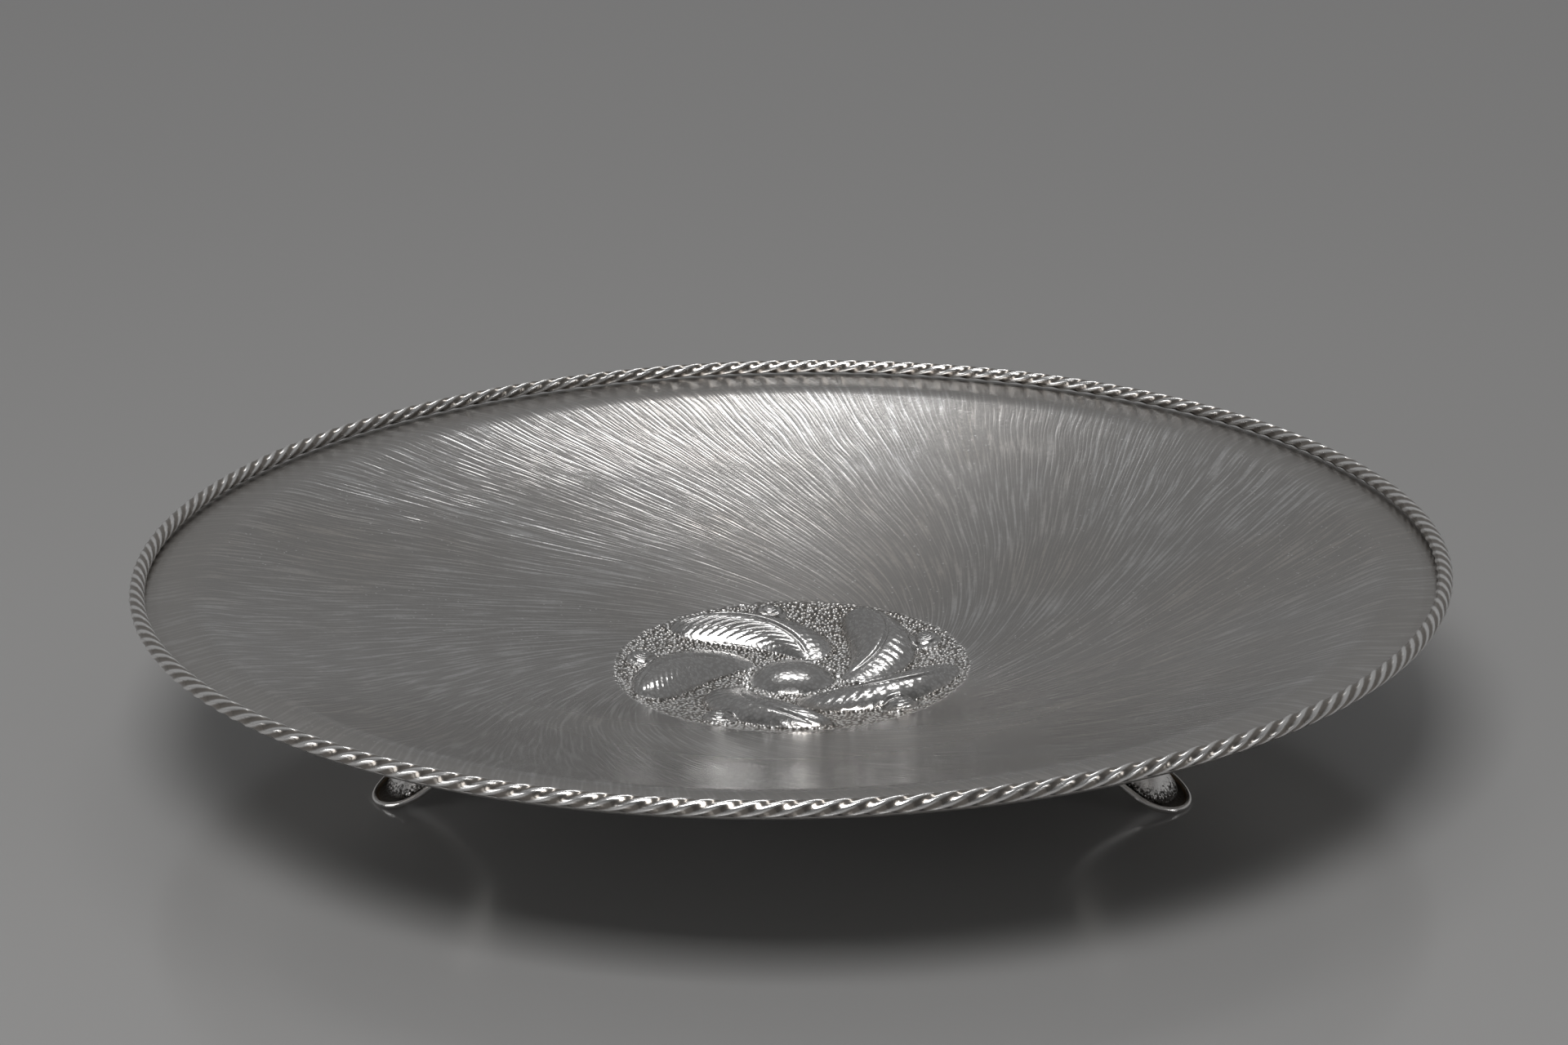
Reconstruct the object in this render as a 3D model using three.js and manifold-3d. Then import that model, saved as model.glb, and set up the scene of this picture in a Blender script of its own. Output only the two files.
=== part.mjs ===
// A shallow silver dish on three tongue feet, with a twisted wire on its rim and an embossed rosette.
// Millimetres, +Z up. The origin is on the table, under the middle of the dish.
import * as THREE from "three";
import { mergeVertices } from "three/addons/utils/BufferGeometryUtils.js";
import Module from "manifold-3d";

// Dish
const SHEET = 0.9; // thickness of the raised sheet
const LIP_Z = 40.15; // upper face of the flat lip, just under the wire
const LIP_R = 147.4; // outer edge of the lip, under the wire
const LIP_ROUNDING = 0.4; // how far the sheet's edge is rounded
const CREASE_R = 135; // where the lip turns down into the wall
const WALL_SLOPE = 0.344; // rise over run of the wall at the crease
const MEDALLION_R = 42.5; // edge of the embossed ground
const MEDALLION_SLOPE = 0.22; // rise over run at that edge, which eases to level at the middle
const WALL_STEPS = 6; // rings of facets from the medallion to the crease
const MEDALLION_STEPS = 13; // rings of facets in the medallion
const TURN_STEPS = 80; // facets round the dish

// Rosette: whirling leaves round a boss, with a bud between their outer ends
const LEAVES = 5;
const LEAF_FROM = 11; // radius where a leaf starts
const LEAF_TO = 39.5; // radius where it ends
const LEAF_HALF_WIDTH = 13.5; // measured round the dish, across the slanting leaf
const LEAF_RISE = 4.6; // height over the ground
const LEAF_SWEEP = 1.15; // how far a leaf turns on its way out, in radians
const LEAF_BELLY = 1.4; // power that sets a leaf's widest place: 1 is half way, more is farther out
const LEAF_BLUNTNESS = 0.55; // power of its outline: less is blunter
const BOSS_R = 10;
const BOSS_RISE = 4.2;
const BUD_R = 4.4;
const BUD_RISE = 2.4;
const BUD_PLACE = { r: 35, turn: 1.78 }; // from the middle of the dish and from the leaf's start
const CUSHION_POWER = 0.75; // of the domed sections: 0.5 is half round, 1 is a parabola

// Rim wire: one square wire, twisted and closed to a ring
const WIRE_R = 148.2; // radius of its centreline
const WIRE_Z = 42.05; // height of its centreline
const WIRE_CORNER = 1.8; // from the centreline to a corner
const WIRE_RIDGES = 178; // quarter turns of twist in the whole ring
const STEPS_PER_RIDGE = 3;

// Feet: tongues of sheet that curl up from the table to the dish. They were soldered on by eye, so
// their places differ by a degree or a millimetre.
const FEET = [
  { turn: -149.9, reach: 103.8 }, // degrees round the dish, and radius of the toe's end
  { turn: -29.3, reach: 102.6 },
  { turn: 90, reach: 103.2 },
];
const TOE_SLANT = 16.5; // degrees from level at the toe
const TONGUE_CURL = 1.4; // degrees that each millimetre up the tongue adds to the slant
const CURL_LENGTH = 28; // the tongue is straight beyond
const TONGUE_LENGTH = 45; // before the dish cuts it off
const TONGUE_HALF_WIDTH = 8.4; // where the round toe ends
const TOE_LENGTH = 9.2; // of the round toe
const TONGUE_SPREAD = 0.12; // growth of the half width for each millimetre beyond the toe
const TONGUE_THICK = 0.75;
const EDGE_WIDTH = 1; // raised edge round the tongue
const EDGE_HEIGHT = 0.7; // over the tongue's face
const EDGE_ROUNDING = 0.3;
const TOE_STEPS = 10;
const TONGUE_STEPS = 10; // from the end of the round toe to the end of the tongue
const WORN_DEPTH = 0.4; // worn off level under each toe

// Drop on each tongue, a full swelling with a faint crest that rises towards the dish
const DROP_FROM = 3.6; // from the tip of the toe to the blunt end of the drop
const DROP_HALF_WIDTH = 6.2;
const DROP_NOSE = 5; // length in which it gets its width
const DROP_SPREAD = 0.08; // growth of the half width for each millimetre up the tongue
const DROP_RISE = 4.6;
const DROP_CLIMB = 10.5; // length in which it gets its height
const DROP_CREST = 0.15; // share of a sharp ridge in its round section
const DROP_LENGTH = 40; // before the dish cuts it off
const DROP_STEPS = 14;
const DROP_STEP_GROWTH = 1.8; // power that puts the steps close together at the blunt end
const DROP_ARCH_STEPS = 10;

const SOLDER_GAP = 0.3; // left between pieces that are soldered together
const CUTTER_STEPS = 24; // rings of facets of the solid that trims the feet to the dish

const silver = (roughness, shade) =>
  new THREE.MeshStandardMaterial({ color: shade, roughness, metalness: 1 });
const chasedSilver = silver(0.38, 0xb4b2ae);
const polishedSilver = silver(0.18, 0xd4d2ce);
const darkenedSilver = silver(0.34, 0x8c857c);

const wasm = await Module();
wasm.setup();

// A closed mesh as a solid for cutting and joining
function solid(geometry) {
  const bare = geometry.clone();
  bare.deleteAttribute("normal");
  bare.deleteAttribute("uv");
  const merged = mergeVertices(bare, 1e-4);
  return new wasm.Manifold(
    new wasm.Mesh({
      numProp: 3,
      vertProperties: new Float32Array(merged.attributes.position.array),
      triVerts: new Uint32Array(merged.index.array),
    }),
  );
}

function geometryOf(body) {
  const cut = body.getMesh();
  const geometry = new THREE.BufferGeometry();
  geometry.setAttribute("position", new THREE.BufferAttribute(cut.vertProperties, 3));
  geometry.setIndex(new THREE.BufferAttribute(cut.triVerts, 1));
  return geometry;
}

// A closed skin over rings of points. A ring may shrink to one point. An open skin ends in flat
// faces, and a looped one joins its last ring to its first, shifted along by some points.
function skin(rings, { looped = false, shift = 0 } = {}) {
  const count = rings[0].length;
  const points = rings.flat();
  const corners = [];
  const at = (ring, k) =>
    ring < rings.length ? ring * count + (k % count) : (k + shift) % count;
  const face = (a, b, c) => {
    const [p, q, s] = [points[a], points[b], points[c]];
    if (!p.equals(q) && !q.equals(s) && !s.equals(p)) corners.push(a, b, c);
  };
  for (let ring = 0; ring < rings.length - (looped ? 0 : 1); ring++)
    for (let k = 0; k < count; k++) {
      face(at(ring, k), at(ring + 1, k), at(ring + 1, k + 1));
      face(at(ring, k), at(ring + 1, k + 1), at(ring, k + 1));
    }
  for (let k = 1; k < count - 1 && !looped; k++) {
    face(at(0, 0), at(0, k), at(0, k + 1));
    const last = rings.length - 1;
    face(at(last, 0), at(last, k + 1), at(last, k));
  }
  const geometry = new THREE.BufferGeometry().setFromPoints(points);
  geometry.setIndex(corners);
  return mergeVertices(geometry, 1e-4);
}

const cylindrical = (r, turn, z) =>
  new THREE.Vector3(r * Math.cos(turn), r * Math.sin(turn), z);
const steps = (count) => Array.from({ length: count + 1 }, (_, i) => i / count);

// The dish's upper face without the rosette. Its slope grows evenly from the middle to the
// medallion's edge, and evenly again from there to the crease.
function dishZ(r) {
  const wall = CREASE_R - MEDALLION_R;
  const bend = (WALL_SLOPE - MEDALLION_SLOPE) / wall;
  const climb = (run) => MEDALLION_SLOPE * run + (bend * run * run) / 2;
  const edgeZ = LIP_Z - climb(wall);
  if (r >= CREASE_R) return LIP_Z;
  if (r >= MEDALLION_R) return edgeZ + climb(r - MEDALLION_R);
  return edgeZ - (MEDALLION_SLOPE * (MEDALLION_R ** 2 - r ** 2)) / (2 * MEDALLION_R);
}

function dishSlope(r) {
  if (r > CREASE_R) return 0;
  if (r < MEDALLION_R) return (MEDALLION_SLOPE * r) / MEDALLION_R;
  const along = (r - MEDALLION_R) / (CREASE_R - MEDALLION_R);
  return MEDALLION_SLOPE + along * (WALL_SLOPE - MEDALLION_SLOPE);
}

const undersideZ = (r) => dishZ(r) - SHEET * Math.hypot(1, dishSlope(r));

// A cushion's height at a distance from its middle, 1 being its edge
const cushion = (distance) => Math.max(0, 1 - distance ** 2) ** CUSHION_POWER;

// How far out a radius lies on the leaves, from 0 to 1, and how far the leaves have turned there
const outAlong = (r) => THREE.MathUtils.clamp((r - LEAF_FROM) / (LEAF_TO - LEAF_FROM), 0, 1);
const whirl = (r) => LEAF_SWEEP * outAlong(r);

// Height of the rosette over the ground
function rosette(r, turn) {
  const pitch = (2 * Math.PI) / LEAVES;
  const along = outAlong(r);
  let rise = BOSS_RISE * cushion(r / BOSS_R);
  for (let leaf = 0; leaf < LEAVES; leaf++) {
    const start = leaf * pitch;
    const bud = start + BUD_PLACE.turn;
    const reach = Math.sqrt(
      r ** 2 + BUD_PLACE.r ** 2 - 2 * r * BUD_PLACE.r * Math.cos(turn - bud),
    );
    rise = Math.max(rise, BUD_RISE * cushion(reach / BUD_R));
    if (along <= 0 || along >= 1) continue;
    const middle = start + whirl(r);
    const aside = Math.atan2(Math.sin(turn - middle), Math.cos(turn - middle));
    const fullness = Math.sin(Math.PI * along ** LEAF_BELLY) ** LEAF_BLUNTNESS;
    const across = (r * aside) / (LEAF_HALF_WIDTH * fullness);
    rise = Math.max(rise, LEAF_RISE * fullness * cushion(across));
  }
  return rise;
}

// The sheet as rings from the middle of its upper face, round its edge and back underneath. The
// rings turn with the leaves, so that the facets run along them.
function dish() {
  const radii = [
    ...steps(MEDALLION_STEPS).map((s) => s * MEDALLION_R),
    ...steps(WALL_STEPS).slice(1).map((s) => MEDALLION_R + s * (CREASE_R - MEDALLION_R)),
    LIP_R - LIP_ROUNDING,
  ];
  const turns = steps(TURN_STEPS).slice(0, -1).map((s) => s * 2 * Math.PI);
  const ring = (r, height) =>
    turns
      .map((turn) => turn + whirl(r))
      .map((turn) => cylindrical(r, turn, height(r) + rosette(r, turn)));
  const edge = [LIP_ROUNDING, SHEET - LIP_ROUNDING].map((down) => ring(LIP_R, () => LIP_Z - down));
  const upper = radii.map((r) => ring(r, dishZ));
  const under = radii.map((r) => ring(r, undersideZ)).reverse();
  return skin([...upper, ...edge, ...under]);
}

function rimWire() {
  const count = WIRE_RIDGES * STEPS_PER_RIDGE;
  const rings = steps(count).slice(0, -1).map((s) =>
    [0, 1, 2, 3].map((corner) => {
      const spin = (Math.PI / 2) * (corner + s * WIRE_RIDGES);
      const r = WIRE_R + WIRE_CORNER * Math.cos(spin);
      return cylindrical(r, s * 2 * Math.PI, WIRE_Z + WIRE_CORNER * Math.sin(spin));
    }),
  );
  return skin(rings, { looped: true, shift: WIRE_RIDGES % 4 });
}

// Bends a point of a flat foot, drawn with its toe at the origin and its length along +Y, up from
// the table. The foot then runs inwards along -X.
function curled(x, y, z) {
  const slantAt = (run) => THREE.MathUtils.degToRad(TOE_SLANT + TONGUE_CURL * run);
  const bent = Math.min(y, CURL_LENGTH);
  const radius = 1 / THREE.MathUtils.degToRad(TONGUE_CURL);
  const [toe, slant] = [slantAt(0), slantAt(bent)];
  const inwards = radius * (Math.sin(slant) - Math.sin(toe)) + (y - bent) * Math.cos(slant);
  const upwards = radius * (Math.cos(toe) - Math.cos(slant)) + (y - bent) * Math.sin(slant);
  const toeZ = TONGUE_THICK * Math.cos(toe) - WORN_DEPTH;
  return new THREE.Vector3(z * Math.sin(slant) - inwards, x, toeZ + upwards + z * Math.cos(slant));
}

// Half width at a distance up the tongue, drawn in from its outline
function tongueHalf(y, inset) {
  const short = (TOE_LENGTH - y) / (TOE_LENGTH - inset);
  const round = Math.sqrt(Math.max(0, 1 - Math.max(0, short) ** 2));
  return round * (TONGUE_HALF_WIDTH - inset) + TONGUE_SPREAD * Math.max(0, y - TOE_LENGTH);
}

// Half of the tongue's section, from under its side over the raised edge to its sunk face. Before
// the face starts, and on the end that the dish cuts off, the top is flat.
function tongueProfile(y) {
  const [outer, inner] = [tongueHalf(y, 0), tongueHalf(y, EDGE_WIDTH)];
  const edge = y < TONGUE_LENGTH ? EDGE_HEIGHT : 0;
  const outerRounding = Math.min(EDGE_ROUNDING, edge);
  const innerRounding = inner > 0 ? outerRounding : 0;
  return [
    [outer, -TONGUE_THICK],
    [outer, edge - outerRounding],
    [outer - outerRounding, edge],
    [inner + innerRounding, edge],
    [inner, edge - innerRounding],
    [inner, inner > 0 ? 0 : edge],
  ];
}

function tongue() {
  const stations = [
    ...steps(TOE_STEPS).slice(1).map((s) => TOE_LENGTH * (1 - Math.cos((Math.PI / 2) * s))),
    ...steps(TONGUE_STEPS).slice(1).map((s) => TOE_LENGTH + s * (TONGUE_LENGTH - TOE_LENGTH)),
  ];
  const sections = stations.map((y) => {
    const near = tongueProfile(y).map(([x, z]) => curled(x, y, z));
    const far = tongueProfile(y).map(([x, z]) => curled(-x, y, z));
    return [...near, ...far.reverse()];
  });
  return solid(skin(sections));
}

// An arch that grows from a blunt round end in width and in height
function drop() {
  const section = (x) => (1 - DROP_CREST) * Math.sqrt(1 - x * x) + DROP_CREST * (1 - Math.abs(x));
  const stations = steps(DROP_STEPS).slice(1).map((s) => DROP_LENGTH * s ** DROP_STEP_GROWTH);
  const arches = stations.map((run) => {
    const short = Math.max(0, 1 - run / DROP_NOSE);
    const half = Math.sqrt(1 - short ** 2) * DROP_HALF_WIDTH + DROP_SPREAD * run;
    const rise = DROP_RISE * Math.sin((Math.PI / 2) * Math.min(1, run / DROP_CLIMB));
    return steps(DROP_ARCH_STEPS)
      .map((s) => Math.cos(Math.PI * s))
      .map((x) => curled(x * half, DROP_FROM + run, SOLDER_GAP + rise * section(x)));
  });
  const tip = arches[0].map(() => curled(0, DROP_FROM, SOLDER_GAP));
  return solid(skin([tip, ...arches]));
}

// Everything over the dish's underside, as a solid that cuts the feet off below it
function aboveUnderside() {
  const radii = steps(CUTTER_STEPS).map((s) => s * CREASE_R);
  const profile = radii.map((r) => new THREE.Vector2(r, undersideZ(r) - SOLDER_GAP));
  profile.push(new THREE.Vector2(CREASE_R, WIRE_Z), new THREE.Vector2(0, WIRE_Z));
  return solid(new THREE.LatheGeometry(profile, TURN_STEPS).rotateX(Math.PI / 2));
}

// Puts a piece of a foot at its reach, trims it to the dish and wears it level on the table
function placed(piece, reach, cutter) {
  return geometryOf(piece.translate([reach, 0, 0]).trimByPlane([0, 0, 1], 0).subtract(cutter));
}

function mesh(name, geometry, material) {
  const made = new THREE.Mesh(geometry, material);
  made.name = name;
  return made;
}

const bowl = new THREE.Group();
bowl.add(mesh("dish", dish(), chasedSilver));
bowl.add(mesh("rim_wire", rimWire(), polishedSilver));

const cutter = aboveUnderside();
FEET.forEach(({ turn, reach }, number) => {
  const foot = new THREE.Group();
  foot.rotation.z = THREE.MathUtils.degToRad(turn);
  foot.add(mesh(`foot_plate_${number + 1}`, placed(tongue(), reach, cutter), darkenedSilver));
  foot.add(mesh(`foot_boss_${number + 1}`, placed(drop(), reach, cutter), polishedSilver));
  bowl.add(foot);
});

export default bowl;
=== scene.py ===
"""Looks of a shallow silver dish on three tongue feet: chased wall, embossed rosette, twisted rim wire."""

from math import atan2, cos, e, exp, hypot, pi, radians, sin, sqrt

import bmesh
import bpy
from mathutils import Matrix, Vector


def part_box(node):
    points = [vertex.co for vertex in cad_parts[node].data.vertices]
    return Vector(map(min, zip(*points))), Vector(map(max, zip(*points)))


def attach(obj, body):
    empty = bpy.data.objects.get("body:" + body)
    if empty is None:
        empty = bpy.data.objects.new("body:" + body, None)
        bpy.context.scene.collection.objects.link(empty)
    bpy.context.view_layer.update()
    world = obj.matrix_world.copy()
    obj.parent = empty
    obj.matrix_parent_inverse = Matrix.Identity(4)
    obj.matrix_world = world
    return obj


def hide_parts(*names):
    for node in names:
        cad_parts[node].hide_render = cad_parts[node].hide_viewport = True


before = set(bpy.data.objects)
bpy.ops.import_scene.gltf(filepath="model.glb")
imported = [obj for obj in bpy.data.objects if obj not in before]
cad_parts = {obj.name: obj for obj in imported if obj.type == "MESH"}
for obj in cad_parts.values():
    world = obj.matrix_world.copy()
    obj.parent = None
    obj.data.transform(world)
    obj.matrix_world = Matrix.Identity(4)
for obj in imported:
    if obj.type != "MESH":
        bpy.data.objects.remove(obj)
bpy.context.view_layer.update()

MM = 0.001
FULL_TURN = 2 * pi
# Distances in metres within which points are merged, in a piece and where its copied sectors meet
SAME_POINT = 1e-7
SECTOR_SEAM = 2e-6
# A bend between two faces over this many degrees stays sharp
SHARP_OVER = 40

# Sizes read from the frame, in millimetres
rim_low, rim_high = (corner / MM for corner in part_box("rim_wire"))
_, dish_high = (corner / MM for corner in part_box("dish"))
WIRE_CORNER = (rim_high.z - rim_low.z) / 2
WIRE_Z = (rim_high.z + rim_low.z) / 2
WIRE_R = rim_high.x - WIRE_CORNER
LIP_R = dish_high.x
LIP_Z = dish_high.z

# Dish, in millimetres
SHEET = 0.9
CREASE_R = 135  # where the lip turns down into the wall
CREASE_ROUNDING = 3
WALL_SLOPE = 0.344  # rise over run at the crease
MEDALLION_R = 42.5
MEDALLION_SLOPE = 0.22  # at its edge, easing to level in the middle
EDGE_ROUNDING = 0.1
EDGE_STEPS = 3
LIP_UNDER_WIRE = 0.7  # how far the sheet's edge runs on under the wire
DISH_SECTORS = 440
# Distances between the sheet's rings in the rosette, on the wall, at the crease and on the lip
UPPER_SPACING = (0.4, 4, 0.75, 2)
UNDER_SPACING = (1, 6, 2, 4)

# Rosette, in millimetres. Places across a leaf run from 0 on its midrib to 1 at its edge
LEAVES = 5
LEAF_FROM = 11
LEAF_TO = 39.5
LEAF_HALF_WIDTH = 13.5
LEAF_RISE = 4.6
LEAF_SWEEP = 1.15  # how far a leaf turns on its way out, in radians
LEAF_BELLY = 1.4  # 1 puts its widest place half way, more puts it farther out
LEAF_BLUNTNESS = 0.55  # a power: less is blunter
LEAF_PEAK = 0.3  # place across of its crest
LEAF_TIP_HALF_WIDTH = 0.5
OFF_LEAF = 2  # place across that is clear of every leaf
BOSS_R = 10
BOSS_RISE = 4.2
BUD_R = 4.4
BUD_RISE = 2.4
BUD_PLACE_R = 35
BUD_TURN = 1.78  # from the start of a leaf, in radians
CUSHION_POWER = 0.75  # of domed sections: 0.5 is half round, 1 is a parabola
MIDRIB_HALF_WIDTH = 0.7
MIDRIB_DEPTH = 0.7
BEAD_RING_R = 10.9
BEAD_R = 0.9
BEAD_RISE = 0.8
BEADS_PER_LEAF = 5
FLUTES = 17
FLUTE_SLANT = 2.6  # flutes that the slant spans from midrib to edge
FLUTE_DEPTH = 0.26
FLUTES_BEGIN = (0.1, 0.4)
FLUTES_END = (0.8, 1)
VOLUTE_PITCH = 1.35  # between the grooves of a scroll

# Rim wire
RIDGES = 178
STEPS_PER_RIDGE = 8
SECTION_POINTS = 32
WIRE_SQUARENESS = 4  # 2 is round, more is squarer

# Feet, in millimetres and degrees: each has its turn and how far out its toe is
FEET = ((-149.9, 103.8), (-29.3, 102.6), (90, 103.2))
TOE_SLANT = 16.5  # from level, at the toe
TONGUE_CURL = 1.4  # what each millimetre up the tongue adds to the slant
CURL_LENGTH = 28  # the tongue is straight beyond
TONGUE_LENGTH = 45  # before the dish cuts it off
TONGUE_HALF_WIDTH = 8.4  # where the round toe ends
TOE_LENGTH = 9.2
TONGUE_SPREAD = 0.12  # growth of the half width for each millimetre beyond the toe
TONGUE_THICK = 0.75
TOE_STEPS = 48
EDGE_HEIGHT = 0.7  # of the raised edge over the face
BEAD_ROUNDING = 0.7
BEAD_STEPS = 4
HOLLOW_WIDTH = 1.1  # from the raised edge down to the face
HOLLOW_STEPS = 6
LOWER_ROUNDING = 0.45
LOWER_STEPS = 4
WORN_DEPTH = 0.4  # worn off level under each toe
DROP_FROM = 3.6  # from the tip of the toe
DROP_HALF_WIDTH = 6.2
DROP_NOSE = 5  # length in which it gets its width
DROP_SPREAD = 0.08  # growth of the half width for each millimetre along
DROP_RISE = 4.6
DROP_CLIMB = 10.5  # length in which it gets its height
DROP_CREST = 0.15  # share of a sharp ridge in its round section
DROP_LENGTH = 40  # before the dish cuts it off
DROP_STEPS = 60
DROP_STEP_GROWTH = 1.8  # a power: more sets the steps closer at the blunt end
DROP_ARCH_STEPS = 40
DROP_SUNK = 0.1  # how deep it is set into the tongue
BLUNT_END_GAP = 0.001
CURL_STEP = 2  # between the cuts that let a foot bend
SOLDERED_IN = 0.15  # how far the feet run into the sheet
CUTTER_RINGS = 60
CUTTER_STEPS = 120

# Whirl of the strokes on the wall: how far they turn with the logarithm of the radius and with the
# radius itself, both as shares of the rim's, and how far they waver
LAY_LOG = 1.40
LAY_LINEAR = 1.08
LAY_FROM = 0.05  # the least share that the logarithm is taken of
LAY_WAVER = 0.05
# Strokes, in millimetres. Each band has the radius that sets their width, and its own limits
STROKE_BANDS = ((55, 0, 67), (84, 67, 102), (124, 102, 200))
BAND_BLUR = 7  # half the width in which two bands blend
STROKE_STRETCH = 0.07  # width of a stroke over its length
STROKE_DENSITY = 1.1  # strokes to the millimetre, side by side
STROKE_DEPTH = 0.052
STROKES_DEEPEN = (5, 118)  # from no depth to the full depth
# Depths of the other marks in the dish, in millimetres
GROUND_STIPPLE_DEPTH = 0.8
LEAF_STIPPLE_DEPTH = 0.05
SCROLL_DEPTH = 0.08
GRAIN_DEPTH = 0.012
SOLDER_PIT_DEPTH = 0.06
DENT_DEPTH = 0.06
# Limits of changes in the dish's finish, in millimetres from its middle
MEDALLION_EDGE = (MEDALLION_R - 2.4, MEDALLION_R - 0.3)
SMOOTH_LIP = (CREASE_R - 1, CREASE_R + 2)
DARK_LIP = (CREASE_R - 2.5, CREASE_R + 3)
SATIN_LIP = (CREASE_R - 4, CREASE_R + 4)
SOLDERED_RIM = (143, 144.5)
OUTLINE_WAVER = 1.6  # of the medallion's edge, from its inmost to its outmost
# Warmer, darker places: x and y, and radius
TINTS = (((60, 46), 26), ((-112, 25), 34))

# Camera: the photograph's view, 0.8 m away with an 81 mm lens
CAMERA_PLACE = Vector((47.6, -766.5, 313.05)) * MM
CAMERA_TURN = radians(3.65)
CAMERA_DOWN = radians(19.0)
CAMERA_ROLL = radians(-0.87)
CAMERA_LENS = 81.32
CAMERA_SENSOR = 36

# Studio, in metres. Each softbox has its place, what it faces, its width and height, and its radiance
FLOOR_HALF = 6
SOFTBOXES = {
    "key_softbox": ((-0.11, -0.72, 1.2), (0, 0, 0), (0.64, 0.56), 10.8),
    "back_softbox": ((-0.1, 1.32, 2.11), (0, 0.12, 0), (1.3, 0.3), 5.6),
    "low_left_softbox": ((-1.25, -0.87, 0.36), (0, 0, 0), (0.8, 0.45), 3),
    "low_right_softbox": ((1.15, -0.62, 0.3), (0, 0, 0), (0.3, 0.3), 3),
}


class Wired:
    """A socket of a node tree. Arithmetic on it adds Math nodes."""

    def __init__(self, wiring, socket):
        self.wiring = wiring
        self.socket = socket

    def maths(self, operation, *others):
        return self.wiring.maths(operation, self, *others)

    def __add__(self, other):
        return self.maths("ADD", other)

    def __sub__(self, other):
        return self.maths("SUBTRACT", other)

    def __rsub__(self, other):
        return self.wiring.maths("SUBTRACT", other, self)

    def __mul__(self, other):
        return self.maths("MULTIPLY", other)

    def __truediv__(self, other):
        return self.maths("DIVIDE", other)

    def __pow__(self, other):
        return self.maths("POWER", other)

    __radd__ = __add__
    __rmul__ = __mul__


class Wiring:
    """A node tree that is being made."""

    def __init__(self, tree):
        self.nodes = tree.nodes
        self.links = tree.links

    def set(self, node, values):
        for key, value in values.items():
            key = key.replace("_", " ") if isinstance(key, str) else key
            if isinstance(value, Wired):
                self.links.new(value.socket, node.inputs[key])
            else:
                node.inputs[key].default_value = value

    def node(self, kind, settings=None, values=None, output=0):
        made = self.nodes.new("ShaderNode" + kind)
        for key, value in (settings or {}).items():
            setattr(made, key, value)
        self.set(made, values or {})
        return Wired(self, made.outputs[output])

    def maths(self, operation, *values):
        return self.node("Math", {"operation": operation}, dict(enumerate(values)))

    def vector(self, x, y, z):
        return self.node("CombineXYZ", None, {0: x, 1: y, 2: z})

    def parts(self, vector):
        return [self.node("SeparateXYZ", None, {0: vector}, axis) for axis in range(3)]

    def noise(self, vector, scale, detail, roughness=0.5, plane=False):
        settings = {"noise_dimensions": "2D" if plane else "3D"}
        values = {"Vector": vector, "Scale": scale, "Detail": detail, "Roughness": roughness}
        return self.node("TexNoise", settings, values)

    def cells(self, vector, scale, plane=False):
        """Distance from the nearest of many scattered points."""
        settings = {"voronoi_dimensions": "2D" if plane else "3D"}
        return self.node("TexVoronoi", settings, {"Vector": vector, "Scale": scale})

    def ramp(self, value, low, high):
        """0 below low and 1 above high, smooth between."""
        settings = {"interpolation_type": "SMOOTHSTEP"}
        return self.node("MapRange", settings, {"Value": value, "From Min": low, "From Max": high})

    def blend(self, share, first, second):
        """A mix of two colours."""
        pair = {"data_type": "RGBA"}
        return self.node("Mix", pair, {0: share, 6: first, 7: second}, 2)


class Finish(Wiring):
    """A material that is being made, with its shader."""

    def __init__(self, name, **settings):
        self.material = bpy.data.materials.new(name)
        self.material.use_nodes = True
        super().__init__(self.material.node_tree)
        self.shader = self.nodes["Principled BSDF"]
        self.set(self.shader, settings)

    def shade(self, **values):
        self.set(self.shader, values)

    def place(self):
        """The piece's own coordinates, in millimetres."""
        coordinates = self.node("TexCoord", output="Object")
        return self.node("VectorMath", {"operation": "SCALE"}, {0: coordinates, "Scale": 1 / MM})

    def attribute(self, name):
        return self.node("Attribute", {"attribute_name": name}, output="Fac")

    def bump(self, height):
        """Normals from a height in millimetres."""
        return self.node("Bump", None, {"Height": height, "Distance": MM, "Strength": 1})


def grey(value, warmth=0.0):
    """A neutral or warm grey, as a colour with alpha."""
    return (value * (1 + warmth), value, value * (1 - warmth), 1)


def piece(name, bm, finish):
    """A finished mesh of the object, in metres, that stands for the node of the same name."""
    bmesh.ops.remove_doubles(bm, verts=bm.verts, dist=SAME_POINT)
    bmesh.ops.recalc_face_normals(bm, faces=bm.faces)
    mesh = bpy.data.meshes.new(name)
    bm.to_mesh(mesh)
    bm.free()
    made = bpy.data.objects.new(name + "_shown", mesh)
    bpy.context.scene.collection.objects.link(made)
    mesh.shade_smooth()
    mesh.materials.append(finish.material)
    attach(made, "root")
    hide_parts(name)
    return made


def helper_object(name, bm):
    """An object that isn't a piece of the dish, made from a bmesh that is kept."""
    mesh = bpy.data.meshes.new(name)
    bm.to_mesh(mesh)
    made = bpy.data.objects.new(name, mesh)
    bpy.context.scene.collection.objects.link(made)
    return made


def whole_ring(sector, copies):
    """The sector and its copies, turned about the dish's axis and merged."""
    part = bpy.data.meshes.new("sector")
    sector.to_mesh(part)
    sector.free()
    ring = bmesh.new()
    for _ in range(copies):
        ring.from_mesh(part)
        part.transform(Matrix.Rotation(FULL_TURN / copies, 4, "Z"))
    bmesh.ops.remove_doubles(ring, verts=ring.verts, dist=SECTOR_SEAM)
    return ring


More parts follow.
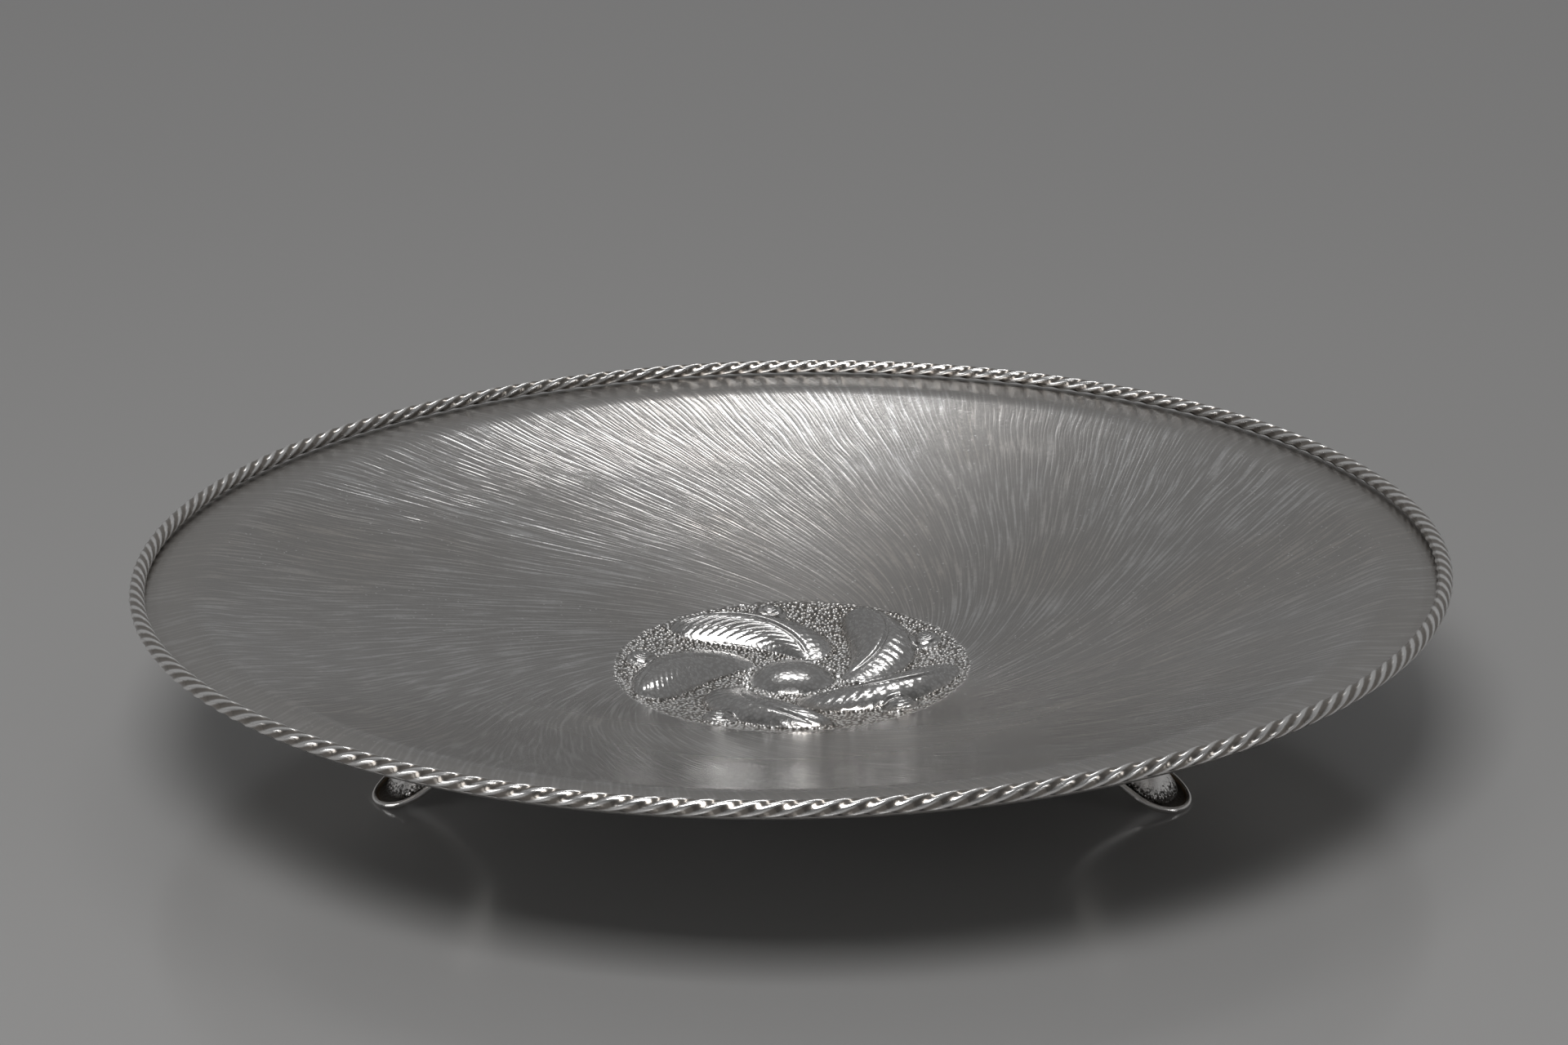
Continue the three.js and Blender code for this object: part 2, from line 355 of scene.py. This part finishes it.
def spun(profile, angle, steps, closed=False):
    """A profile of radii and heights in millimetres, turned about the dish's axis."""
    bm = bmesh.new()
    points = [bm.verts.new((r * MM, 0, z * MM)) for r, z in profile]
    following = points[1:] + points[:1] if closed else points[1:]
    edges = [bm.edges.new(pair) for pair in zip(points, following)]
    bmesh.ops.spin(
        bm, geom=points + edges, cent=(0, 0, 0), axis=(0, 0, 1), dvec=(0, 0, 0),
        angle=angle, steps=steps, use_merge=angle == FULL_TURN, use_duplicate=False,
    )
    return bm


def boundary(bm):
    """The edges that have a face on one side alone."""
    return [edge for edge in bm.edges if edge.is_boundary]


def only(kind, geometry):
    """The vertices, edges or faces among what an operator gives back."""
    return [element for element in geometry if isinstance(element, kind)]


# Form of the dish

def dish_slope(r):
    """Rise over run of the sheet at a radius."""
    if r > CREASE_R:
        return 0
    if r < MEDALLION_R:
        return MEDALLION_SLOPE * r / MEDALLION_R
    along = (r - MEDALLION_R) / (CREASE_R - MEDALLION_R)
    return MEDALLION_SLOPE + along * (WALL_SLOPE - MEDALLION_SLOPE)


def dish_z(r):
    """Height of the dish's upper face, without the rosette and the rounding of the crease."""
    wall = CREASE_R - MEDALLION_R
    bend = (WALL_SLOPE - MEDALLION_SLOPE) / wall
    medallion_z = LIP_Z - MEDALLION_SLOPE * wall - bend * wall ** 2 / 2
    if r >= CREASE_R:
        return LIP_Z
    if r >= MEDALLION_R:
        run = r - MEDALLION_R
        return medallion_z + MEDALLION_SLOPE * run + bend * run ** 2 / 2
    return medallion_z - MEDALLION_SLOPE * (MEDALLION_R ** 2 - r ** 2) / (2 * MEDALLION_R)


def sheet_z(r, under):
    """Height of either face of the sheet, with the crease rounded by a parabola."""
    off = (r - CREASE_R) / CREASE_ROUNDING
    z = dish_z(r)
    if abs(off) < 1:
        z -= WALL_SLOPE * CREASE_ROUNDING * (1 - abs(off)) ** 2 / 4
    return z - (SHEET * hypot(1, dish_slope(r)) if under else 0)


def spaced(start, end, step):
    """Radii from the start up to just before the end, about a step apart."""
    count = max(1, round((end - start) / step))
    return [start + (end - start) * i / count for i in range(count)]


def cushion(distance):
    """Section of a dome: 1 in the middle and 0 from a distance of 1."""
    return max(0, 1 - distance ** 2) ** CUSHION_POWER


def out_along(r):
    """How far a radius is along the leaves, from 0 to 1."""
    return min(1, max(0, (r - LEAF_FROM) / (LEAF_TO - LEAF_FROM)))


def whirl(r):
    """How far the leaves have turned at a radius, in radians."""
    return LEAF_SWEEP * out_along(r)


def turned_between(turn, start):
    """The turn as seen from the start, within half a turn either way."""
    return atan2(sin(turn - start), cos(turn - start))


def fullness(r):
    """How full a leaf is at a radius, 1 being its widest place."""
    return sin(pi * out_along(r) ** LEAF_BELLY) ** LEAF_BLUNTNESS


def smooth(value, low, high):
    """0 below low and 1 above high, smooth between."""
    share = min(1, max(0, (value - low) / (high - low)))
    return share * share * (3 - 2 * share)


def leaf(r, aside, across):
    """Height of a leaf: a cushion that is steeper on one side, with a sunk midrib and fluted sides."""
    if abs(across) >= 1:
        return 0
    from_peak = across - LEAF_PEAK
    skewed = from_peak / (1 - LEAF_PEAK if from_peak > 0 else 1 + LEAF_PEAK)
    groove = exp(-((r * aside / MIDRIB_HALF_WIDTH) ** 2))
    flute = cos(FULL_TURN * FLUTES * out_along(r) - FLUTE_SLANT * FULL_TURN * abs(across))
    fluted = smooth(abs(across), *FLUTES_BEGIN) * (1 - smooth(abs(across), *FLUTES_END))
    carved = MIDRIB_DEPTH * groove + FLUTE_DEPTH * fluted * (1 - flute) / 2
    return max(0, fullness(r) * (LEAF_RISE * cushion(skewed) - carved))


def rosette(r, turn):
    """Height of the rosette over the ground, place across the nearest leaf, and distance from the middle
    of the nearest scroll."""
    if r > MEDALLION_R:
        return 0, OFF_LEAF, BUD_R
    rise = BOSS_RISE * cushion(r / BOSS_R)
    place_across, from_scroll = OFF_LEAF, BUD_R
    width = LEAF_HALF_WIDTH * fullness(r)
    for number in range(LEAVES):
        start = number * FULL_TURN / LEAVES
        aside = turned_between(turn, start + whirl(r))
        across = OFF_LEAF
        if width > LEAF_TIP_HALF_WIDTH:
            across = max(-OFF_LEAF, min(OFF_LEAF, r * aside / width))
        if abs(across) < abs(place_across):
            place_across = across
        rise = max(rise, leaf(r, aside, across))
        bud = start + BUD_TURN
        reach = hypot(r * cos(turn - bud) - BUD_PLACE_R, r * sin(turn - bud))
        from_scroll = min(from_scroll, reach)
        rise = max(rise, BUD_RISE * cushion(reach / BUD_R))
    beads = LEAVES * BEADS_PER_LEAF
    bead = round(turn * beads / FULL_TURN) * FULL_TURN / beads
    reach = hypot(r - BEAD_RING_R, r * turned_between(turn, bead))
    return rise + BEAD_RISE * cushion(reach / BEAD_R), place_across, from_scroll


def ring_radii(spacing, end):
    """Radii of one face's rings, from the middle to the end."""
    bounds = (0, MEDALLION_R + 1, CREASE_R - CREASE_ROUNDING, CREASE_R + CREASE_ROUNDING, end)
    return [r for low, high, step in zip(bounds, bounds[1:], spacing) for r in spaced(low, high, step)]


def dish_piece(finish):
    """The sheet: its profile is spun, and the middle is then raised to the rosette."""
    profile = [(r, sheet_z(r, False)) for r in ring_radii(UPPER_SPACING, LIP_R)]
    # The edge tucks in under the wire and slants back below it
    for i in range(EDGE_STEPS + 1):
        angle = 0.75 * pi * i / EDGE_STEPS
        out = LIP_R + LIP_UNDER_WIRE + EDGE_ROUNDING * (sin(angle) - 1)
        profile.append((out, LIP_Z + EDGE_ROUNDING * (cos(angle) - 1)))
    profile.append((LIP_R - EDGE_ROUNDING, LIP_Z - SHEET))
    under = ring_radii(UNDER_SPACING, LIP_R - EDGE_ROUNDING)
    profile += [(r, sheet_z(r, True)) for r in reversed(under)]
    bm = spun(profile, FULL_TURN / LEAVES, DISH_SECTORS // LEAVES)
    layers = [bm.verts.layers.float.new(name) for name in ("rise", "across", "scroll")]
    for vert in bm.verts:
        r = hypot(vert.co.x, vert.co.y) / MM
        turn = atan2(vert.co.y, vert.co.x) + whirl(r)
        values = rosette(r, turn)
        for layer, value in zip(layers, values):
            vert[layer] = value
        vert.co = Vector((r * cos(turn), r * sin(turn), vert.co.z / MM + values[0])) * MM
    return piece("dish", whole_ring(bm, LEAVES), finish)


# Rim wire

def wire_reach(angle):
    """Distance from the wire's middle to its skin, 1 being a ridge: a square with worn corners."""
    x, y = abs(cos(angle - pi / 4)), abs(sin(angle - pi / 4))
    power = WIRE_SQUARENESS
    return (2 * 0.5 ** (power / 2) / (x ** power + y ** power)) ** (1 / power)


def rim_piece(finish):
    """A section is spun over the length of one ridge, twisted, and repeated round the rim."""
    angles = [FULL_TURN * i / SECTION_POINTS for i in range(SECTION_POINTS)]
    corners = [(angle, WIRE_CORNER * wire_reach(angle)) for angle in angles]
    section = [(WIRE_R + reach * cos(angle), WIRE_Z + reach * sin(angle)) for angle, reach in corners]
    bm = spun(section, FULL_TURN / RIDGES, STEPS_PER_RIDGE, closed=True)
    for index, vert in enumerate(bm.verts):
        turn = FULL_TURN * (index // SECTION_POINTS) / (RIDGES * STEPS_PER_RIDGE)
        angle, reach = corners[index % SECTION_POINTS]
        twisted = angle + turn * RIDGES / 4
        out = WIRE_R + reach * cos(twisted)
        up = WIRE_Z + reach * sin(twisted)
        vert.co = Vector((cos(turn) * out, sin(turn) * out, up)) * MM
    return piece("rim_wire", whole_ring(bm, RIDGES), finish)


# Feet

def curled(x, y, z):
    """Bends a point of a flat foot, drawn with its toe at the origin and its length along +Y, up from
    the table. The foot then runs inwards along -X."""
    bent = min(y, CURL_LENGTH)
    radius = 1 / radians(TONGUE_CURL)
    toe, slant = radians(TOE_SLANT), radians(TOE_SLANT + TONGUE_CURL * bent)
    inwards = radius * (sin(slant) - sin(toe)) + (y - bent) * cos(slant)
    upwards = radius * (cos(toe) - cos(slant)) + (y - bent) * sin(slant)
    toe_z = TONGUE_THICK * cos(toe) - WORN_DEPTH
    return Vector((z * sin(slant) - inwards, x, toe_z + upwards + z * cos(slant))) * MM


def curl(bm):
    """Bends a flat foot piece, which is drawn in millimetres, and keeps its flat places for the finish."""
    for start in range(CURL_STEP, TONGUE_LENGTH, CURL_STEP):
        whole = bm.verts[:] + bm.edges[:] + bm.faces[:]
        bmesh.ops.bisect_plane(bm, geom=whole, dist=1e-4, plane_co=(0, start, 0), plane_no=(0, 1, 0))
    height = bm.verts.layers.float.new("height")
    inset = bm.verts.layers.float.new("inset")
    for vert in bm.verts:
        x, y, z = vert.co
        short = max(0, 1 - y / TOE_LENGTH)
        half = TONGUE_HALF_WIDTH + TONGUE_SPREAD * max(0, y - TOE_LENGTH)
        vert[height] = z
        vert[inset] = half * (1 - hypot(x / half, short))
        vert.co = curled(x, y, z)


def underside_cutter():
    """A solid over the dish's underside, which cuts the feet off just inside the sheet."""
    radii = [CREASE_R * i / CUTTER_RINGS for i in range(CUTTER_RINGS + 1)]
    profile = [(r, dish_z(r) - SHEET * hypot(1, dish_slope(r)) + SOLDERED_IN) for r in radii]
    profile += [(CREASE_R, 2 * LIP_Z), (0, 2 * LIP_Z)]
    bm = spun(profile, FULL_TURN, CUTTER_STEPS)
    bmesh.ops.remove_doubles(bm, verts=bm.verts, dist=SAME_POINT)
    bmesh.ops.recalc_face_normals(bm, faces=bm.faces)
    cutter = helper_object("underside_cutter", bm)
    bm.free()
    return cutter


def trim(bm, cutter):
    """Takes the cutter away from a bmesh."""
    bmesh.ops.recalc_face_normals(bm, faces=bm.faces)
    uncut = helper_object("uncut", bm)
    difference = uncut.modifiers.new("trim", "BOOLEAN")
    difference.operation = "DIFFERENCE"
    difference.solver = "EXACT"
    difference.object = cutter
    evaluated = uncut.evaluated_get(bpy.context.evaluated_depsgraph_get())
    cut = bpy.data.meshes.new_from_object(evaluated)
    bm.clear()
    bm.from_mesh(cut)
    bpy.data.objects.remove(uncut)


def tongue_bmesh():
    """The flat tongue: its outline is drawn round the toe, insets round its raised edge and sink its
    face, and its lower side is drawn down and rounded."""
    bm = bmesh.new()
    side = bm.verts.new((TONGUE_HALF_WIDTH, TOE_LENGTH, 0))
    bmesh.ops.spin(
        bm, geom=[side], cent=(0, TOE_LENGTH, 0), axis=(0, 0, 1), dvec=(0, 0, 0),
        angle=-pi, steps=TOE_STEPS, use_merge=False, use_duplicate=False,
    )
    bmesh.ops.scale(
        bm, vec=(1, TOE_LENGTH / TONGUE_HALF_WIDTH, 1), verts=bm.verts,
        space=Matrix.Translation((0, -TOE_LENGTH, 0)),
    )
    tops = []
    spread = TONGUE_SPREAD * (TONGUE_LENGTH - TOE_LENGTH)
    for end in [vert for vert in bm.verts if len(vert.link_edges) == 1]:
        top = bm.verts.new((end.co.x + (spread if end.co.x > 0 else -spread), TONGUE_LENGTH, 0))
        bm.edges.new((end, top))
        tops.append(top)
    bm.edges.new(tops)
    face = bmesh.ops.contextual_create(bm, geom=bm.edges[:])["faces"][0]
    if face.normal.z < 0:
        face.normal_flip()
    start_z = EDGE_HEIGHT - BEAD_ROUNDING
    bmesh.ops.translate(bm, verts=bm.verts, vec=(0, 0, start_z))
    quarter = [pi / 2 * i / BEAD_STEPS for i in range(BEAD_STEPS + 1)]
    profile = [(BEAD_ROUNDING * (1 - cos(a)), BEAD_ROUNDING * sin(a)) for a in quarter]
    for i in range(1, HOLLOW_STEPS + 1):
        share = i / HOLLOW_STEPS
        sunk = EDGE_HEIGHT * (1 - cos(pi * share)) / 2
        profile.append((BEAD_ROUNDING + HOLLOW_WIDTH * share, BEAD_ROUNDING - sunk))
    for (first, low), (second, high) in zip(profile, profile[1:]):
        bmesh.ops.inset_region(
            bm, faces=[face], thickness=second - first, depth=high - low, use_even_offset=True,
            use_boundary=True,
        )
    lower = bmesh.ops.extrude_edge_only(bm, edges=boundary(bm))["geom"]
    lower_verts = only(bmesh.types.BMVert, lower)
    bmesh.ops.translate(bm, verts=lower_verts, vec=(0, 0, -start_z - TONGUE_THICK))
    bottom = bmesh.ops.contextual_create(bm, geom=boundary(bm))["faces"][0]
    bmesh.ops.bevel(
        bm, geom=bottom.edges[:], offset=LOWER_ROUNDING, offset_type="OFFSET", segments=LOWER_STEPS,
        profile=0.5, affect="EDGES", material=-1,
    )
    return bm


def drop_bmesh():
    """The flat drop: an arch that is extruded along from its blunt end and shaped at each station."""
    bm = bmesh.new()
    stations = [DROP_LENGTH * (i / DROP_STEPS) ** DROP_STEP_GROWTH for i in range(1, DROP_STEPS + 1)]
    # The blunt end starts as a sliver, and every station after it places its own points
    ring = [bm.verts.new((i * BLUNT_END_GAP, DROP_FROM, 0)) for i in range(DROP_ARCH_STEPS + 1)]
    edges = [bm.edges.new(pair) for pair in zip(ring, ring[1:] + ring[:1])]
    bmesh.ops.contextual_create(bm, geom=edges)
    for run in stations:
        grown = bmesh.ops.extrude_edge_only(bm, edges=edges)["geom"]
        edges = [edge for edge in only(bmesh.types.BMEdge, grown) if edge.is_boundary]
        loop = only(bmesh.types.BMVert, grown)
        short = max(0, 1 - run / DROP_NOSE)
        half = sqrt(1 - short ** 2) * DROP_HALF_WIDTH + DROP_SPREAD * run
        rise = DROP_RISE * sin(pi / 2 * min(1, run / DROP_CLIMB))
        for number, vert in enumerate(loop):
            x = cos(pi * number / DROP_ARCH_STEPS)
            section = (1 - DROP_CREST) * sqrt(max(0, 1 - x * x)) + DROP_CREST * (1 - abs(x))
            vert.co = Vector((x * half, run + DROP_FROM, rise * section - DROP_SUNK))
    bmesh.ops.contextual_create(bm, geom=boundary(bm))
    return bm


def foot_pieces(plate_finish, drop_finish):
    """Three feet, each cut off at the dish's underside and worn level under its toe."""
    cutter = underside_cutter()
    for number, (turn, reach) in enumerate(FEET, start=1):
        place = Matrix.Rotation(radians(turn), 4, "Z") @ Matrix.Translation((reach * MM, 0, 0))
        plate, drop = tongue_bmesh(), drop_bmesh()
        for bm in (plate, drop):
            curl(bm)
            bmesh.ops.transform(bm, matrix=place, verts=bm.verts)
            trim(bm, cutter)
        # The toe is cut off level with the table, and the cut is closed
        worn_edge = bmesh.ops.bisect_plane(
            plate, geom=plate.verts[:] + plate.edges[:] + plate.faces[:], dist=1e-8,
            plane_co=(0, 0, 0), plane_no=(0, 0, 1), clear_inner=True,
        )["geom_cut"]
        bmesh.ops.holes_fill(plate, edges=only(bmesh.types.BMEdge, worn_edge))
        plate_made = piece(f"foot_plate_{number}", plate, plate_finish)
        drop_made = piece(f"foot_boss_{number}", drop, drop_finish)
        for made in (plate_made, drop_made):
            made.data.set_sharp_from_angle(angle=radians(SHARP_OVER))
    bpy.data.objects.remove(cutter)


# Finishes

CLEAN_SILVER = grey(0.68, 0.008)
TARNISHED_SILVER = grey(0.54, 0.07)
STROKE_SILVER = grey(0.42, 0.03)
MOTTLED_SILVER = grey(0.38, 0.03)
BARE_SPARK = grey(1)
LIP_SILVER = grey(0.34, 0.04)
# The raised leaves are greyed as painted shade
LEAF_SHADED_SILVER = grey(0.58, 0.01)
DOT_SILVER = grey(0.18, 0.1)
GROUND_SILVER = grey(0.9, 0.01)
CONTOUR_SILVER = grey(0.16, 0.12)
# The wire's faces between the ridges are darkened as painted shade
WIRE_FACE_SHADE = grey(0.3, 0.09)
WIRE_RIDGE = grey(0.95, 0.01)
TONGUE_EDGE = grey(0.88, 0.02)
TONGUE_HOLLOW = grey(0.24, 0.32)
TONGUE_FACE = grey(0.045, 0.15)
TONGUE_BELOW = grey(0.7, 0.03)
# Drops: dark solder pits with painted shade low down, and a painted highlight on the crest
DROP_PITS_AND_SHADE = grey(0.05, 0.1)
DROP_CREST_HIGHLIGHT = grey(0.95, 0.02)


def stroke_troughs(finish, r, turn, drift):
    """Distance from the middle of the nearest chased stroke, squared and roughened. The strokes are cells
    that are stretched along the whirl."""
    share = r / WIRE_R
    swirl = LAY_LOG * finish.maths("LOGARITHM", share.maths("MAXIMUM", LAY_FROM), e) - LAY_LINEAR * share
    lay = turn - swirl + LAY_WAVER * drift
    around = (lay / FULL_TURN).maths("FRACT") * FULL_TURN
    strokes = 0
    for radius, low, high in STROKE_BANDS:
        flat = finish.vector(around * radius * STROKE_DENSITY, r * STROKE_DENSITY * STROKE_STRETCH, 0)
        trough = finish.cells(flat, 1, plane=True) ** 2
        band = trough + 0.4 * finish.noise(flat, 2.2, 1, plane=True)
        beyond_low = finish.ramp(r, low - BAND_BLUR, low + BAND_BLUR)
        before_high = 1 - finish.ramp(r, high - BAND_BLUR, high + BAND_BLUR)
        strokes = band * beyond_low * before_high + strokes
    return strokes


def tarnish(finish, place, x, y):
    """How far the silver has gone warm and dark: in clouds and at a few places."""
    tarnished = finish.ramp(finish.noise(place, 0.018, 3), 0.45, 0.68)
    for (tint_x, tint_y), size in TINTS:
        away = ((x - tint_x) ** 2 + (y - tint_y) ** 2).maths("SQRT")
        tarnished = tarnished.maths("MAXIMUM", 1 - finish.ramp(away, 0.2 * size, size))
    return tarnished


def wall_colour(finish, place, strokes, drift, on_wall, silver):
    """Darker in the strokes, mottled, with sparks of bare metal."""
    hollow = 1 - finish.ramp(strokes, 0.25, 0.8)
    silver = finish.blend(hollow * on_wall * 0.9, silver, STROKE_SILVER)
    mottled = finish.ramp(finish.noise(place, 0.6, 3, 0.75), 0.4, 0.62)
    silver = finish.blend(mottled * on_wall * 0.25, silver, MOTTLED_SILVER)
    spark = (1 - finish.ramp(finish.cells(place, 0.5), 0.06, 0.15)) * finish.ramp(drift, -0.05, 0.1)
    return finish.blend(spark * on_wall * 0.7, silver, BARE_SPARK)


def medallion_colour(finish, inside, ground, rise, punched, silver):
    """Leaves greyed as painted shade and a bright ground, both with dark punched dots, and a dark line
    round each leaf.
    """
    # Painted shade on the raised leaves
    silver = finish.blend(inside * finish.ramp(rise, 0.5, 2), silver, LEAF_SHADED_SILVER)
    dots = finish.ramp(punched, 0.3, 0.6)
    silver = finish.blend(inside * dots * (0.25 + 0.5 * ground), silver, DOT_SILVER)
    silver = finish.blend(ground * (1 - dots) * 0.7, silver, GROUND_SILVER)
    across = finish.attribute("across").maths("ABSOLUTE")
    contour = finish.ramp(across, 0.9, 0.98) * (1 - finish.ramp(across, 1.02, 1.12))
    return finish.blend(contour * inside * 0.4, silver, CONTOUR_SILVER)


def chased_silver():
    """The dish: long strokes that lie along a whirl, polished leaves on a stippled ground in the middle,
    and a plain satin lip with solder pits by the wire."""
    finish = Finish("chased_silver", Metallic=1)
    place = finish.place()
    x, y, _ = finish.parts(place)
    r = (x * x + y * y).maths("SQRT")
    drift = finish.noise(place, 0.03, 1) - 0.5
    strokes = stroke_troughs(finish, r, finish.maths("ARCTAN2", y, x), drift)
    pitted = finish.ramp(r, *SOLDERED_RIM)

    outline = r + OUTLINE_WAVER * (finish.noise(place, 0.45, 1) - 0.5)
    inside = 1 - finish.ramp(outline, *MEDALLION_EDGE)
    on_wall = 1 - inside
    rise = finish.attribute("rise")
    ground = inside * (1 - finish.ramp(rise, 0.1, 0.7))
    punched = finish.cells(place, 1.05)
    scroll = finish.attribute("scroll")
    grooves = (scroll * (FULL_TURN / VOLUTE_PITCH)).maths("COSINE")
    grooves = grooves * (1 - finish.ramp(scroll, BUD_R - 0.6, BUD_R))

    strike = on_wall * (1 - 0.8 * finish.ramp(r, *SMOOTH_LIP)) * finish.ramp(r, *STROKES_DEEPEN)
    height = strokes * strike * STROKE_DEPTH
    height = height + punched ** 2 * (GROUND_STIPPLE_DEPTH * ground + LEAF_STIPPLE_DEPTH * inside)
    height = height + grooves * inside * SCROLL_DEPTH
    height = height + finish.noise(place, 1.1, 2) * (GRAIN_DEPTH + SOLDER_PIT_DEPTH * pitted)
    height = height + finish.noise(place, 0.05, 2) * DENT_DEPTH

    silver = finish.blend(tarnish(finish, place, x, y) * 0.8, CLEAN_SILVER, TARNISHED_SILVER)
    silver = wall_colour(finish, place, strokes, drift, on_wall, silver)
    silver = finish.blend(finish.ramp(r, *DARK_LIP) * 0.6, silver, LIP_SILVER)
    silver = medallion_colour(finish, inside, ground, rise, punched, silver)
    silver = finish.blend(pitted * 0.1, silver, CONTOUR_SILVER)
    # Duller on the lip, on the ground and on the wall in front of the rosette
    in_front = (1 - finish.ramp(y, -48, -34)) * (1 - finish.ramp(r, 70, 100))
    rough = 0.19 + 0.14 * finish.ramp(r, *SATIN_LIP) + 0.14 * ground + 0.1 * in_front
    finish.shade(Base_Color=silver, Roughness=rough, Normal=finish.bump(height))
    return finish


def wire_silver():
    """Bright worn ridges, with the faces between them darkened as painted shade."""
    finish = Finish("wire_silver", Metallic=1)
    place = finish.place()
    x, y, z = finish.parts(place)
    r = (x * x + y * y).maths("SQRT")
    across, up = r - WIRE_R, z - WIRE_Z
    reach = (across * across + up * up).maths("SQRT") / WIRE_CORNER
    grain = finish.noise(place, 0.9, 3)
    ridge = finish.ramp(reach + 0.05 * (grain - 0.5), 0.86, 0.96)
    # Painted shade on the faces between the ridges
    silver = finish.blend(ridge, WIRE_FACE_SHADE, WIRE_RIDGE)
    finish.shade(Base_Color=silver, Roughness=0.18 + 0.08 * grain, Normal=finish.bump(grain * 0.03))
    return finish


def darkened_silver():
    """The tongues: nearly black in the sunk face, brown up the hollow, bright on the raised edge."""
    finish = Finish("darkened_silver", Metallic=1)
    place = finish.place()
    grain = finish.noise(place, 1.4, 4, 0.6)
    inset = finish.attribute("inset") + 0.25 * (grain - 0.5)
    below = 1 - finish.ramp(finish.attribute("height"), -0.4, -0.1)
    sunk = finish.ramp(inset, 0.8, 1.2)
    deep = finish.ramp(inset, 1.1, 1.8)
    silver = finish.blend(sunk, TONGUE_EDGE, TONGUE_HOLLOW)
    silver = finish.blend(deep, silver, TONGUE_FACE)
    silver = finish.blend(below, silver, TONGUE_BELOW)
    pits = finish.bump(grain * (0.04 + 0.2 * deep))
    finish.shade(Base_Color=silver, Roughness=0.18 + 0.16 * sunk, Normal=pits)
    return finish


def drop_silver():
    """The drops: polished along the crest, which is lightened as a painted highlight, with dark pits from
    the soldering round their foot that are darkened further as painted shade.
    """
    finish = Finish("drop_silver", Metallic=1)
    place = finish.place()
    grain = finish.noise(place, 1.5, 4, 0.75)
    polished_lit_crest = finish.ramp(finish.attribute("height") / DROP_RISE + 1.8 * (grain - 0.5), 0.1, 0.35)
    # Painted highlight on the crest; solder pits and painted shade below it
    silver = finish.blend(polished_lit_crest, DROP_PITS_AND_SHADE, DROP_CREST_HIGHLIGHT)
    pits = finish.bump((1 - polished_lit_crest) * finish.cells(place, 2.2) * 0.3 + grain * 0.06)
    finish.shade(Base_Color=silver, Roughness=0.34 - 0.14 * polished_lit_crest, Normal=pits)
    return finish


# Studio

FLOOR_GREY = grey(0.29, 0.012)
ROOM_BEFORE_DISH = grey(0.12)
ROOM_BEHIND_DISH = grey(0.25)


def pale_floor():
    bm = bmesh.new()
    bmesh.ops.create_grid(bm, x_segments=1, y_segments=1, size=FLOOR_HALF)
    floor = helper_object("floor", bm)
    bm.free()
    pale = Finish("pale_floor", Base_Color=FLOOR_GREY, Roughness=0.16)
    floor.data.materials.append(pale.material)


def studio_room():
    """The light that comes from all round: less from before the dish than from behind it."""
    world = bpy.data.worlds.new("studio")
    world.use_nodes = True
    room = Wiring(world.node_tree)
    _, y, _ = room.parts(room.node("TexCoord", output="Generated"))
    walls = room.blend(room.ramp(y, -0.25, 0.3), ROOM_BEFORE_DISH, ROOM_BEHIND_DISH)
    room.set(room.nodes["Background"], {"Color": walls})
    bpy.context.scene.world = world


def softbox(name, place, aim, size, radiance):
    """A rectangular lamp whose face has the given radiance."""
    light = bpy.data.lights.new(name, "AREA")
    light.shape = "RECTANGLE"
    light.size, light.size_y = size
    light.energy = radiance * pi * light.size * light.size_y
    lamp = bpy.data.objects.new(name, light)
    lamp.location = place
    lamp.rotation_euler = (Vector(aim) - Vector(place)).to_track_quat("-Z", "Y").to_euler()
    bpy.context.scene.collection.objects.link(lamp)


def camera():
    """The photograph's view."""
    lens = bpy.data.cameras.new("camera")
    lens.lens = CAMERA_LENS
    lens.sensor_width = CAMERA_SENSOR
    lens.clip_start = 0.01
    view = bpy.data.objects.new("camera", lens)
    turned = Matrix.Rotation(CAMERA_TURN, 4, "Z") @ Matrix.Rotation(pi / 2 - CAMERA_DOWN, 4, "X")
    view.matrix_world = Matrix.Translation(CAMERA_PLACE) @ turned @ Matrix.Rotation(CAMERA_ROLL, 4, "Z")
    bpy.context.scene.collection.objects.link(view)
    bpy.context.scene.camera = view


camera()
pale_floor()
studio_room()
for lamp, settings in SOFTBOXES.items():
    softbox(lamp, *settings)
dish_piece(chased_silver())
rim_piece(wire_silver())
foot_pieces(darkened_silver(), drop_silver())
bpy.context.scene.view_settings.view_transform = "Standard"
